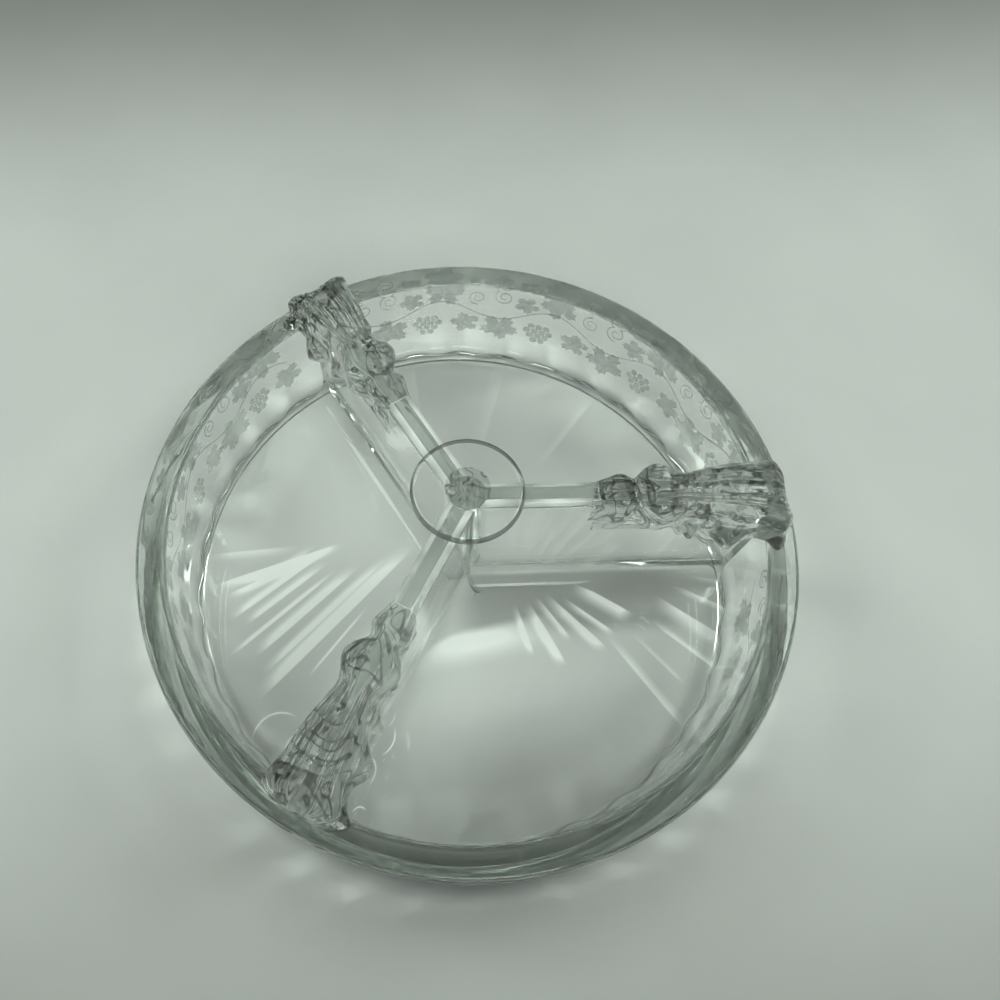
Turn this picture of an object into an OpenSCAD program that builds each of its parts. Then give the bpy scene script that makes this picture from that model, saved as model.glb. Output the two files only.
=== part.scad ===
// Divided candy dish of clear pressed glass: a round, straight-sided bowl with three tall dividers,
// each with a scrolled crest towards the rim, that meet under a flat round disc.
// Lengths are in millimetres, +Z is up and the origin is the middle of the foot, on the table.
// Azimuths are counted from +X, which is the direction of the right-hand divider.

/* [Bowl] */
// Outer diameter of the bowl
bowl_d = 165; // [150:1:180]
// Height of the rim above the table
rim_h = 39; // [34:0.5:46]
// Thickness of the side wall
wall_t = 7.6; // [6:0.1:9]
// Thickness of the floor
floor_t = 4.8; // [4.2:0.1:7]
// Rounding of the outer edge under the floor
base_edge_r = 3.2; // [1:0.1:3.5]
// Height of the rim band
rim_band_h = 8; // [5:0.5:10]
// Rounding of the rim's two top edges
rim_edge_r = 1.5; // [0.5:0.1:2.5]

/* [Foot] */
// Distance from the outside of the bowl in to the foot ring
foot_inset = 3.5; // [3.5:0.1:8]
// Width of the foot ring
foot_w = 4.5; // [3.5:0.1:8]
// Height of the foot ring
foot_h = 1.5; // [1.4:0.1:3]
// Rounding of the foot ring's two lower edges
foot_edge_r = 0.6; // [0.2:0.1:1.2]

/* [Flutes] */
// Number of upright flutes round the inside of the wall, with one behind each divider
flute_count = 33; // [27:3:39]
// Radius of each flute
flute_r = 14; // [11:1:18]
// Height of the ribs between the flutes, at the floor
rib_depth = 1.3; // [0.6:0.1:1.8]
// Height above the floor where the ribs fade out
rib_fade_h = 20; // [12:1:24]

/* [Dividers] */
// Height of the plain bars above the rim
bar_rise = 15.5; // [12:0.5:18]
// Thickness of the dividers
bar_t = 6.3; // [5:0.1:8]
// Fillet between a divider and the floor
bar_fillet_r = 5; // [2:0.1:6]
// Distance from the centre to the inner end of the crests
crest_start = 31; // [26:0.5:36]
// Height of the wall under a crest, above the rim
seat_rise = 6; // [3:0.5:8]

/* [Crests] */
// Height of the crests above the rim
crest_rise = 17; // [14:0.1:20]
// Width of a crest over its leaf
crest_w = 17; // [14:0.5:20]
// Distance that a crest reaches over the rim, past the face of the wall
crest_reach = 3.6; // [2:0.1:5]
// Depth of the hollow along the middle of the leaf
hollow_depth = 2.6; // [1:0.1:4]

/* [Centre] */
// Diameter of the centre disc
disc_d = 26.6; // [22:0.1:32]
// Thickness of the centre disc
disc_t = 2.8; // [2:0.1:4.5]
// Rounding of the disc's two edges
disc_edge_r = 0.9; // [0.3:0.1:0.9]
// Height of the disc's underside above the bars
disc_gap = 1.2; // [0.5:0.1:3]
// Radius that the post has outside the corners between the dividers
post_margin = 0.4; // [0.1:0.1:1.5]
// Widening of the post where it meets the disc
neck_flare = 2.4; // [0.5:0.1:4]

/* [Hidden] */

$fn = 96;
// Overrun of every cut past the face that it leaves
cut = 1;

bowl_r = bowl_d / 2;
well_r = bowl_r - wall_t;
floor_top = foot_h + floor_t;
band_bottom = rim_h - rim_band_h;
bar_top = rim_h + bar_rise;
seat_top = rim_h + seat_rise;
disc_bottom = bar_top + disc_gap;
crest_end = well_r + crest_reach;

// Azimuths of the three dividers
divider_turn = 120;
right_az = 0;
rear_left_az = divider_turn;
front_left_az = 2 * divider_turn;

foot_r = bowl_r - foot_inset;

// Two bars, and lower down their fillets, meet at the post halfway between two dividers
post_r = bar_t / 2 / sin(divider_turn / 2) + post_margin;
post_foot_r = (bar_t / 2 + bar_fillet_r) / sin(divider_turn / 2) + post_margin;
neck_r = post_r + neck_flare;

// Sections of a crest from its inner end to the rim, chosen by hand. Each row holds shares of
// the crest's length, of its half width at the leaf's edge and at the lobes below it, of its
// height above the rim, of the hollow's depth, and of the drop from the seat to the rim.
crest_shares = [
    [0.000, 0.38, 0.38, 0.90, 0.00, 0.00],
    [0.040, 0.43, 0.42, 0.93, 0.00, 0.05],
    [0.115, 0.53, 0.50, 0.98, 0.00, 0.25],
    [0.180, 0.42, 0.40, 0.92, 0.00, 0.05],
    [0.240, 0.68, 0.58, 0.98, 0.00, 0.35],
    [0.310, 0.80, 0.70, 1.00, 0.05, 0.60],
    [0.420, 0.56, 0.58, 0.94, 0.25, 0.50],
    [0.495, 0.62, 0.85, 0.95, 0.70, 1.20],
    [0.560, 0.68, 0.66, 0.97, 0.95, 0.80],
    [0.680, 0.79, 1.12, 0.98, 1.00, 1.50],
    [0.790, 0.84, 0.90, 0.93, 1.00, 1.10],
    [0.873, 0.95, 1.00, 0.86, 0.90, 1.00],
    [0.926, 1.00, 1.28, 0.76, 0.70, 1.00],
    [0.970, 0.80, 1.10, 0.60, 0.40, 1.00],
    [1.000, 0.50, 0.80, 0.36, 0.00, 1.00]
];
// Sections made between two rows
crest_steps = 2;
// Half outline of a section: shares of the height from base to top, and of the lobe's and the
// leaf's half widths. What is left of the half width follows the divider's.
side_shares = [
    [0.00, 0.35, 0.00],
    [0.17, 1.00, 0.00],
    [0.36, 0.92, 0.08],
    [0.52, 0.36, 0.50],
    [0.72, 0.00, 1.00],
    [0.90, 0.00, 0.98],
    [1.00, 0.00, 0.70]
];
// Place of the hollow's two slopes, as a share of the half width
hollow_share = 0.30;
// Depth of those slopes as a share of the hollow's depth
slope_share = 0.85;

// Smooth value between b and c at share t, where a and d are their outer neighbours
function smooth_value(a, b, c, d, t) =
    b + t * ((c - a) / 2 + t * (a - 2.5 * b + 2 * c - d / 2 + t * (1.5 * (b - c) + (d - a) / 2)));

function row_at(i) = crest_shares[max(0, min(len(crest_shares) - 1, i))];

// Section number k of the crest, with rows in between made smooth
function section_shares(k) =
    let (i = floor(k / crest_steps), t = k / crest_steps - i)
    [for (c = [0 : 5]) smooth_value(row_at(i - 1)[c], row_at(i)[c], row_at(i + 1)[c], row_at(i + 2)[c], t)];

// One side of a section, from the base up to the edge of the hollow
function side_points(half_edge, half_base, base_z, top_z, side) =
    [for (s = side_shares)
        [side * (bar_t / 2 * (1 - s[1] - s[2]) + half_base * s[1] + half_edge * s[2]),
         base_z + (top_z - base_z) * s[0]]];

// A whole section at section number k, counter-clockwise from the base on the +Y side
function section_points(k) =
    let (
        s = section_shares(k),
        x = crest_start + (crest_end - crest_start) * s[0],
        half_edge = crest_w / 2 * s[1],
        half_base = crest_w / 2 * s[2],
        top_z = rim_h + crest_rise * s[3],
        depth = hollow_depth * max(0, s[4]),
        base_z = rim_h + seat_rise * (1 - max(0, s[5])),
        left = side_points(half_edge, half_base, base_z, top_z, 1),
        right = side_points(half_edge, half_base, base_z, top_z, -1),
        slope = half_edge * hollow_share,
        middle = [[slope, top_z - depth * slope_share], [0, top_z - depth], [-slope, top_z - depth * slope_share]],
        last = len(side_shares) - 1,
        outline = concat(left, middle, [for (j = [last : -1 : 0]) right[j]])
    )
    [for (p = outline) [x, p[0], p[1]]];

// Half of the floor's cross-section, with its rounded outer edge
module floor_outline() {
    square([bowl_r - base_edge_r, floor_t]);
    translate([0, base_edge_r]) square([bowl_r, floor_t - base_edge_r]);
    intersection() {
        translate([bowl_r - base_edge_r, base_edge_r]) circle(r = base_edge_r);
        square([bowl_r, floor_t]);
    }
}

module rim_outline() {
    square([wall_t, rim_band_h - rim_edge_r]);
    translate([rim_edge_r, 0]) square([wall_t - 2 * rim_edge_r, rim_band_h]);
    for (x = [rim_edge_r, wall_t - rim_edge_r])
        translate([x, rim_band_h - rim_edge_r]) circle(r = rim_edge_r);
}

module foot_outline() {
    translate([0, foot_edge_r]) square([foot_w, foot_h - foot_edge_r]);
    translate([foot_edge_r, 0]) square([foot_w - 2 * foot_edge_r, foot_edge_r]);
    for (x = [foot_edge_r, foot_w - foot_edge_r])
        translate([x, foot_edge_r]) circle(r = foot_edge_r);
}

// One flute's space, at azimuth 0 and as high as the side wall with an overrun at each end
module flute_space() {
    translate([well_r - flute_r, 0, floor_top - cut])
        cylinder(r = flute_r, h = band_bottom - floor_top + 2 * cut);
}

// The space inside the side wall, where ribs stand between the flutes and lean back into the wall
module fluted_well() {
    fade_h = min(rib_fade_h, band_bottom - floor_top);
    translate([0, 0, floor_top - cut])
        cylinder(r = well_r - rib_depth, h = 2 * cut);
    translate([0, 0, floor_top])
        cylinder(r1 = well_r - rib_depth, r2 = well_r, h = fade_h);
    translate([0, 0, floor_top + fade_h])
        cylinder(r = well_r, h = band_bottom - floor_top - fade_h + cut);
    for (i = [0 : flute_count - 1])
        rotate([0, 0, i * 360 / flute_count]) flute_space();
}

module glass() { color([0.80, 0.86, 0.83, 0.45]) children(); }

module foot_ring() {
    glass()
    rotate_extrude() translate([foot_r - foot_w, 0]) foot_outline();
}

module floor_plate() {
    glass()
    translate([0, 0, foot_h])
    rotate_extrude() floor_outline();
}

module side_wall() {
    glass()
    difference() {
        translate([0, 0, floor_top]) cylinder(r = bowl_r, h = band_bottom - floor_top);
        fluted_well();
    }
}

module rim() {
    glass()
    translate([0, 0, band_bottom])
    rotate_extrude() translate([well_r, 0]) rim_outline();
}

// Cross-section of a divider, standing on the floor, without its rounded top
module wall_section(height) {
    translate([-bar_t / 2, 0]) square([bar_t, height]);
    for (side = [0, 1]) mirror([side, 0])
        difference() {
            translate([bar_t / 2 - bar_fillet_r / 2, 0]) square([bar_fillet_r * 3 / 2, bar_fillet_r]);
            translate([bar_t / 2 + bar_fillet_r, bar_fillet_r]) circle(r = bar_fillet_r);
        }
}

module bar_section() {
    wall_section(bar_top - floor_top - bar_t / 2);
    translate([0, bar_top - floor_top - bar_t / 2]) circle(d = bar_t);
}

// Sets a cross-section upright on the floor and pulls it outwards along +X
module along_divider(from, to) {
    translate([from, 0, floor_top]) rotate([90, 0, 90]) linear_extrude(to - from) children();
}

// The space that a divider may fill: inside the well, with its end in the flute behind it
module divider_space() {
    height = bar_top - floor_top + cut;
    translate([0, 0, floor_top]) cylinder(r = well_r - rib_depth, h = height);
    translate([well_r - flute_r, 0, floor_top]) cylinder(r = flute_r, h = height);
}

// The post's body: a round core with a flared foot that takes in the fillets, both with an overrun below
module post_body(overrun) {
    foot_slope = (post_foot_r - post_r) / bar_fillet_r;
    translate([0, 0, floor_top - overrun]) {
        cylinder(r = post_r, h = bar_top - floor_top + overrun);
        cylinder(r1 = post_foot_r + foot_slope * overrun, r2 = post_r, h = bar_fillet_r + overrun);
    }
}

module divider(azimuth) {
    glass()
    rotate([0, 0, azimuth])
    difference() {
        intersection() {
            union() {
                along_divider(0, crest_start) bar_section();
                along_divider(crest_start, bowl_r) wall_section(seat_top - floor_top);
            }
            divider_space();
        }
        post_body(cut);
        translate([0, 0, floor_top]) cylinder(r = post_r, h = bar_top - floor_top + cut);
    }
}

// A crest's scrolled body as one closed skin over its sections
module crest_skin() {
    section_count = (len(crest_shares) - 1) * crest_steps + 1;
    sections = [for (k = [0 : section_count - 1]) section_points(k)];
    side_count = len(sections[0]);
    points = [for (s = sections) each s];
    skin = [for (k = [0 : section_count - 2]) for (j = [0 : side_count - 1])
        let (
            a = k * side_count + j,
            b = k * side_count + (j + 1) % side_count,
            c = b + side_count,
            d = a + side_count
        )
        each [[a, b, c], [a, c, d]]];
    inner_cap = [[for (j = [side_count - 1 : -1 : 0]) j]];
    outer_cap = [[for (j = [0 : side_count - 1]) (section_count - 1) * side_count + j]];
    polyhedron(points, concat(skin, inner_cap, outer_cap));
}

module crest(azimuth) {
    glass()
    rotate([0, 0, azimuth])
    difference() {
        crest_skin();
        translate([crest_start - cut, -bar_t / 2, floor_top])
            cube([well_r - crest_start + cut, bar_t, seat_top - floor_top]);
    }
}

module centre_post() {
    glass() {
        post_body(0);
        translate([0, 0, bar_top]) cylinder(r1 = post_r, r2 = neck_r, h = disc_gap);
    }
}

module disc_outline() {
    square([disc_d / 2 - disc_edge_r, disc_t]);
    translate([0, disc_edge_r]) square([disc_d / 2, disc_t - 2 * disc_edge_r]);
    for (z = [disc_edge_r, disc_t - disc_edge_r])
        translate([disc_d / 2 - disc_edge_r, z]) circle(r = disc_edge_r);
}

module centre_disc() {
    glass()
    translate([0, 0, disc_bottom])
    rotate_extrude() disc_outline();
}

foot_ring();
floor_plate();  // floor
side_wall();
rim();
divider(right_az);  // divider_right
divider(rear_left_az);  // divider_rear_left
divider(front_left_az);  // divider_front_left
crest(right_az);  // crest_right
crest(rear_left_az);  // crest_rear_left
crest(front_left_az);  // crest_front_left
centre_post();
centre_disc();
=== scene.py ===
import math
import random

import bmesh
import bpy
from mathutils import Matrix, Vector


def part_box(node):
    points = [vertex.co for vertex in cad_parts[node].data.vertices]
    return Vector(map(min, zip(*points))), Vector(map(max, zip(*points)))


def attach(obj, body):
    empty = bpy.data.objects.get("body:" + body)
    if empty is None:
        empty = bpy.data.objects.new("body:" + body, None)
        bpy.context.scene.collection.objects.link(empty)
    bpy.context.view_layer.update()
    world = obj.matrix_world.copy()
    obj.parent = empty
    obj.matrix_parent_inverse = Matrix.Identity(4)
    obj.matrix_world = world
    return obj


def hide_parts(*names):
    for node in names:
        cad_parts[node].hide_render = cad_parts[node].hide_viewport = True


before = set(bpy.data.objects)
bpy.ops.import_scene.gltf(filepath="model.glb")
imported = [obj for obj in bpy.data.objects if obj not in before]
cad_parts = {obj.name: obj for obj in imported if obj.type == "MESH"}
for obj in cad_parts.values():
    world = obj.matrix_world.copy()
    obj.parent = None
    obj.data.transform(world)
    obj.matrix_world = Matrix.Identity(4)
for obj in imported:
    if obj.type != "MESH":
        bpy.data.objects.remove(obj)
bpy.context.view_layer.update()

MM = 0.001
TURN = 2 * math.pi

# Sizes of the dish, read from the frame
FOOT_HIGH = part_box("foot_ring")[1]
FLOOR_LOW, FLOOR_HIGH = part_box("floor")
WALL_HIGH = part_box("side_wall")[1]
RIM_LOW, RIM_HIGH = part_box("rim")
BAR_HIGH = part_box("divider_right")[1]
CREST_LOW, CREST_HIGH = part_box("crest_right")
POST_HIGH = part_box("centre_post")[1]
DISC_LOW, DISC_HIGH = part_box("centre_disc")

BOWL_R = WALL_HIGH[0]
FOOT_R = FOOT_HIGH[0]
FLOOR_Z = FLOOR_HIGH[2]
FOOT_TOP = FLOOR_LOW[2]
BAND_Z = RIM_LOW[2]
RIM_Z = RIM_HIGH[2]
BAR_TOP = BAR_HIGH[2]
CREST_START = CREST_LOW[0]
CREST_END = CREST_HIGH[0]
CREST_TOP = CREST_HIGH[2]
DISC_R = DISC_HIGH[0]
DISC_Z = DISC_LOW[2]
DISC_TOP = DISC_HIGH[2]
POST_FOOT_R = POST_HIGH[0]

# Sizes that the frame's boxes don't give
WALL_T = 7.6 * MM
WELL_R = BOWL_R - WALL_T
FOOT_W = 4.5 * MM
BASE_CURVE_R = 8.0 * MM
RIM_EDGE_R = 1.5 * MM
FOOT_EDGE_R = 0.6 * MM
DISC_EDGE_R = 1.3 * MM
BAR_T = 6.3 * MM
BAR_EDGE_R = 1.9 * MM
BAR_FILLET_R = 5.0 * MM
POST_R = BAR_T / 2 / math.sin(TURN / 6) + 0.4 * MM
NECK_R = POST_R + 1.0 * MM
KNOT_R = NECK_R * 1.05
SEAT_Z = RIM_Z + 6.0 * MM
HOLLOW_DEPTH = 2.6 * MM
CREST_HALF_W = 8.5 * MM
FLUTE_COUNT = 33
RIB_DEPTH = 1.1 * MM
RIB_FADE = 20.0 * MM
WELL_CORNER_R = 1.4 * MM
# How far a cut stays off a face of the pressing that lies in the same plane
SEAM_GAP = 0.04 * MM
# The air under the foot, so that glass and table share no face
TABLE_GAP = 0.05 * MM
# How far the pressing stays inside the solids' outer wall, so that the frosting can stand proud
WALL_INSET = 0.10 * MM

DIVIDERS = {"right": 0.0, "rear_left": TURN / 3, "front_left": 2 * TURN / 3}


# Mesh helpers

def new_object(name, vertices, faces):
    mesh = bpy.data.meshes.new(name)
    mesh.from_pydata(vertices, [], faces)
    mesh.validate()
    item = bpy.data.objects.new(name, mesh)
    bpy.context.scene.collection.objects.link(item)
    return item


def recalc_outward(item):
    work = bmesh.new()
    work.from_mesh(item.data)
    bmesh.ops.recalc_face_normals(work, faces=work.faces)
    work.to_mesh(item.data)
    work.free()


def arc(centre, radius, start, end, steps):
    """Points on an arc in the profile plane, with angles in degrees."""
    points = []
    for i in range(steps + 1):
        angle = math.radians(start + (end - start) * i / steps)
        points.append((centre[0] + radius * math.cos(angle), centre[1] + radius * math.sin(angle)))
    return points


def lathe(name, profile, segments, radius_at=None):
    """Turns a profile whose first and last points lie on the axis into a closed skin."""
    vertices = [(0.0, 0.0, profile[0][1])]
    inner = profile[1:-1]
    for r, z in inner:
        for k in range(segments):
            angle = TURN * k / segments
            radius = radius_at(r, z, angle) if radius_at else r
            vertices.append((radius * math.cos(angle), radius * math.sin(angle), z))
    last = len(vertices)
    vertices.append((0.0, 0.0, profile[-1][1]))
    faces = []
    for k in range(segments):
        after = (k + 1) % segments
        faces.append((0, 1 + after, 1 + k))
        top = 1 + (len(inner) - 1) * segments
        faces.append((last, top + k, top + after))
        for row in range(len(inner) - 1):
            a = 1 + row * segments + k
            b = 1 + row * segments + after
            faces.append((a, b, b + segments, a + segments))
    item = new_object(name, vertices, faces)
    recalc_outward(item)
    return item


def sweep(name, sections):
    """Skins a row of closed sections that have the same number of points."""
    count = len(sections[0])
    vertices = [p for section in sections for p in section]
    faces = []
    for row in range(len(sections) - 1):
        for k in range(count):
            a = row * count + k
            b = row * count + (k + 1) % count
            faces.append((a, b, b + count, a + count))
    faces.append(tuple(range(count - 1, -1, -1)))
    faces.append(tuple(range((len(sections) - 1) * count, len(sections) * count)))
    item = new_object(name, vertices, faces)
    recalc_outward(item)
    return item


def drop(item):
    mesh = item.data
    bpy.data.objects.remove(item)
    bpy.data.meshes.remove(mesh)


def boolean(item, other, operation):
    """Applies one boolean to an object's mesh, with the faces cut by the other in its material."""
    cut = item.modifiers.new("cut", "BOOLEAN")
    cut.operation = operation
    cut.object = other
    cut.solver = "MANIFOLD"
    cut.material_mode = "TRANSFER"
    graph = bpy.context.evaluated_depsgraph_get()
    made = bpy.data.meshes.new_from_object(item.evaluated_get(graph))
    item.modifiers.clear()
    old = item.data
    item.data = made
    bpy.data.meshes.remove(old)


def copy_of(item, name):
    twin = item.copy()
    twin.data = item.data.copy()
    twin.name = name
    twin.data.name = name
    bpy.context.scene.collection.objects.link(twin)
    return twin


# Materials

# Share of red, green and blue light that gets through a centimetre of the glass
GLASS_PASSED_PER_CM = (0.953, 0.960, 0.954)
# Lower than the 1.5 of real glass, which keeps the feet of the dividers as faint as they really look
GLASS_IOR = 1.36
CM_PER_METRE = 100.0
# Number of painted dark contours between the lowest and the highest of the ripples
CONTOUR_COUNT = 6.0
CONTOUR_DISTORTION = 1.2
# Scale of the form that the contours follow, as a share of the ripples' scale
CONTOUR_SCALE_SHARE = 0.55
# Where a contour is darkest and where it has ended, as shares of the way to the next one
CONTOUR_LINE = (0.03, 0.16)
# Smears: their scale, the range of the noise that shows, and the roughness where they are strongest
SMEAR_SCALE = 45.0
SMEAR_RANGE = (0.45, 0.85)
SMEAR_ROUGHNESS = 0.06
# Frosting: the scale of its grain, its darkest and palest colour, and how much it hides
FROST_SCALE = 700.0
FROST_COLOURS = ((0.30, 0.33, 0.31, 1.0), (0.50, 0.53, 0.51, 1.0))
FROST_ROUGHNESS = 0.7
FROST_ALPHA = (0.20, 0.38)
# Painted highlights, bright lines of matt white on the bars: the scale at which they break up, and the
# least and most matt white
PAINTED_HIGHLIGHT_SCALE = 60.0
PAINTED_HIGHLIGHT_SHARE = (0.25, 0.85)
PAINTED_HIGHLIGHT_COLOUR = (0.96, 0.97, 0.96, 1.0)


def node_material(name):
    material = bpy.data.materials.new(name)
    material.use_nodes = True
    nodes = material.node_tree.nodes
    shader = nodes["Principled BSDF"]
    return material, nodes, material.node_tree.links, shader


def maths(tree, operation, first, second=0.0):
    """Adds a maths node whose inputs are sockets or numbers, and gives its result."""
    node = tree.nodes.new("ShaderNodeMath")
    node.operation = operation
    for socket, value in zip(node.inputs, (first, second)):
        if isinstance(value, float):
            socket.default_value = value
        else:
            tree.links.new(value, socket)
    return node.outputs["Value"]


def product(tree, first, *others):
    """Multiplies sockets or numbers, one after another."""
    for other in others:
        first = maths(tree, "MULTIPLY", first, other)
    return first


def ramp(tree, value, start, end, low=0.0, high=1.0):
    """Adds a smooth step of a value from start to end."""
    node = tree.nodes.new("ShaderNodeMapRange")
    node.interpolation_type = "SMOOTHSTEP"
    node.inputs["From Min"].default_value = start
    node.inputs["From Max"].default_value = end
    node.inputs["To Min"].default_value = low
    node.inputs["To Max"].default_value = high
    tree.links.new(value, node.inputs["Value"])
    return node.outputs["Result"]


def pressed_glass(name, passed_at_surface, ripple_scale=90.0, ripple_depth=0.05 * MM, contour=0.0):
    """Clear glass, a little grey and green where light goes through much of it, with ripples.

    A passed_at_surface below one tints it darker, as painted shade. A contour above zero paints dark
    lines along the ripples' heights, as painted shade for the dark lines that thick uneven glass shows.
    """
    material = bpy.data.materials.new(name)
    material.use_nodes = True
    tree = material.node_tree
    nodes = tree.nodes
    links = tree.links
    nodes.remove(nodes["Principled BSDF"])
    glass = nodes.new("ShaderNodeBsdfGlass")
    glass.inputs["IOR"].default_value = GLASS_IOR
    links.new(glass.outputs["BSDF"], nodes["Material Output"].inputs["Surface"])

    path = nodes.new("ShaderNodeLightPath")
    side = nodes.new("ShaderNodeNewGeometry")
    inside = maths(tree, "MULTIPLY", path.outputs["Ray Length"], side.outputs["Backfacing"])
    centimetres = maths(tree, "MULTIPLY", inside, CM_PER_METRE)
    place = nodes.new("ShaderNodeTexCoord")
    form = nodes.new("ShaderNodeTexNoise")
    form.inputs["Scale"].default_value = ripple_scale * CONTOUR_SCALE_SHARE
    form.inputs["Detail"].default_value = 1.0
    form.inputs["Distortion"].default_value = CONTOUR_DISTORTION
    links.new(place.outputs["Object"], form.inputs["Vector"])
    # Painted shade: dark contour lines along the ripples' heights, and a darker tint at the surface
    # below one
    height = maths(tree, "MULTIPLY", form.outputs["Fac"], CONTOUR_COUNT)
    beside_line = maths(tree, "PINGPONG", height, 0.5)
    darkest = passed_at_surface * (1.0 - contour)
    clear = ramp(tree, beside_line, *CONTOUR_LINE, darkest, passed_at_surface)
    tint = nodes.new("ShaderNodeCombineColor")
    for channel, passed in zip(("Red", "Green", "Blue"), GLASS_PASSED_PER_CM):
        power = maths(tree, "POWER", passed, centimetres)
        links.new(maths(tree, "MULTIPLY", power, clear), tint.inputs[channel])
    links.new(tint.outputs["Color"], glass.inputs["Color"])

    ripple = nodes.new("ShaderNodeTexNoise")
    ripple.inputs["Scale"].default_value = ripple_scale
    ripple.inputs["Detail"].default_value = 2.0
    bump = nodes.new("ShaderNodeBump")
    bump.inputs["Strength"].default_value = 1.0
    bump.inputs["Distance"].default_value = ripple_depth
    smear = nodes.new("ShaderNodeTexNoise")
    smear.inputs["Scale"].default_value = SMEAR_SCALE
    smear.inputs["Detail"].default_value = 4.0
    gloss = nodes.new("ShaderNodeMapRange")
    gloss.inputs["From Min"].default_value, gloss.inputs["From Max"].default_value = SMEAR_RANGE
    gloss.inputs["To Min"].default_value = 0.0
    gloss.inputs["To Max"].default_value = SMEAR_ROUGHNESS
    links.new(place.outputs["Object"], ripple.inputs["Vector"])
    links.new(place.outputs["Object"], smear.inputs["Vector"])
    links.new(ripple.outputs["Fac"], bump.inputs["Height"])
    links.new(bump.outputs["Normal"], glass.inputs["Normal"])
    links.new(smear.outputs["Fac"], gloss.inputs["Value"])
    links.new(gloss.outputs["Result"], glass.inputs["Roughness"])
    return material


def inner_face():
    """The plain faces inside the glass where two pieces meet: nothing of them shows."""
    material, nodes, links, shader = node_material("inner_face")
    shader.inputs["Base Color"].default_value = (1.0, 1.0, 1.0, 1.0)
    shader.inputs["Alpha"].default_value = 0.0
    return material


def frosting():
    """Etched surface: pale grey, matt and a little uneven, and much of the light still passes."""
    material, nodes, links, shader = node_material("frosting")
    shader.inputs["Roughness"].default_value = FROST_ROUGHNESS
    place = nodes.new("ShaderNodeTexCoord")
    grain = nodes.new("ShaderNodeTexNoise")
    grain.inputs["Scale"].default_value = FROST_SCALE
    grain.inputs["Detail"].default_value = 3.0
    tone = nodes.new("ShaderNodeValToRGB")
    for element, colour in zip(tone.color_ramp.elements, FROST_COLOURS):
        element.color = colour
    veil = nodes.new("ShaderNodeMapRange")
    veil.inputs["From Min"].default_value = 0.3
    veil.inputs["From Max"].default_value = 0.7
    veil.inputs["To Min"].default_value, veil.inputs["To Max"].default_value = FROST_ALPHA
    links.new(place.outputs["Object"], grain.inputs["Vector"])
    links.new(grain.outputs["Fac"], tone.inputs["Fac"])
    links.new(tone.outputs["Color"], shader.inputs["Base Color"])
    links.new(grain.outputs["Fac"], veil.inputs["Value"])
    links.new(veil.outputs["Result"], shader.inputs["Alpha"])
    return material


def along_and_across(tree, place, azimuth):
    """Splits a place on the table into the ways along and across a direction."""
    turned = tree.nodes.new("ShaderNodeMapping")
    turned.vector_type = "POINT"
    turned.inputs["Rotation"].default_value = (0.0, 0.0, -azimuth)
    parts = tree.nodes.new("ShaderNodeSeparateXYZ")
    tree.links.new(place, turned.inputs["Vector"])
    tree.links.new(turned.outputs["Vector"], parts.inputs["Vector"])
    return parts.outputs["X"], parts.outputs["Y"]


# Painted streaks of light on the table, for those that the fluted glass throws: azimuth in degrees,
# then shares of the dish's radius: how far beside the axis it runs, where it starts and ends, its width
# to the left of the sharp edge (negative: to the right), and its strength
PAINTED_STREAK_SHARES = [
    (285, 0.155, 0.16, 0.36, -0.030, 0.7),
    (296, 0.165, 0.20, 0.46, -0.045, 1.0),
    (304, 0.170, 0.22, 0.42, -0.030, 0.7),
    (313, 0.165, 0.26, 0.55, -0.045, 1.0),
    (321, 0.150, 0.34, 0.56, -0.030, 0.9),
    (327, 0.185, 0.35, 0.60, -0.060, 1.0),
    (304, 0.270, 0.46, 0.88, 0.035, 0.45),
    (310, 0.290, 0.55, 0.80, 0.020, 0.30),
    (318, 0.290, 0.60, 0.92, 0.025, 0.55),
    (323, 0.330, 0.60, 0.90, -0.065, 0.8),
    (332, 0.295, 0.68, 1.00, -0.030, 0.6),
    (342, 0.240, 0.76, 0.98, -0.035, 0.35),
    (230, -0.175, 0.28, 0.62, -0.012, 0.7),
    (225, -0.185, 0.00, 0.80, -0.060, 1.2),
    (224, -0.225, 0.10, 0.74, -0.035, 0.8),
    (222, -0.265, 0.22, 0.72, -0.045, 0.9),
    (220, -0.300, 0.30, 0.80, -0.020, 0.9),
    (218, -0.330, 0.32, 0.70, -0.035, 0.7),
    (217, -0.365, 0.26, 0.74, -0.035, 0.8),
    (214, -0.385, 0.34, 0.62, -0.030, 0.4),
    (205, -0.300, 0.34, 0.78, 0.035, 0.9),
    (202, -0.280, 0.36, 0.74, 0.020, 0.6),
    (198, -0.255, 0.34, 0.84, 0.040, 1.1),
    (184, -0.165, 0.55, 0.90, 0.040, 0.3),
    (95, 0.060, 0.50, 0.92, 0.050, 0.12),
    (72, 0.050, 0.45, 0.90, 0.060, 0.12),
    (50, 0.020, 0.50, 0.92, 0.040, 0.15),
]
STREAK_EDGE = 0.3 * MM
# Small painted arcs of light on the table beside the front left crest: shares of the dish's radius for
# the middle and the radius of each, the azimuth of its brightest point in degrees, and its strength
PAINTED_ARC_SHARES = [
    (-0.615, -0.560, 0.090, 115, 0.8),
    (-0.545, -0.590, 0.050, 150, 0.4),
    (-0.300, -0.555, 0.055, 335, 0.7),
    (-0.365, -0.660, 0.055, 10, 0.8),
    (-0.360, -0.800, 0.030, 90, 0.8),
    (-0.290, -0.480, 0.025, 330, 0.6),
]
ARC_EDGE = 0.45 * MM


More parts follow.
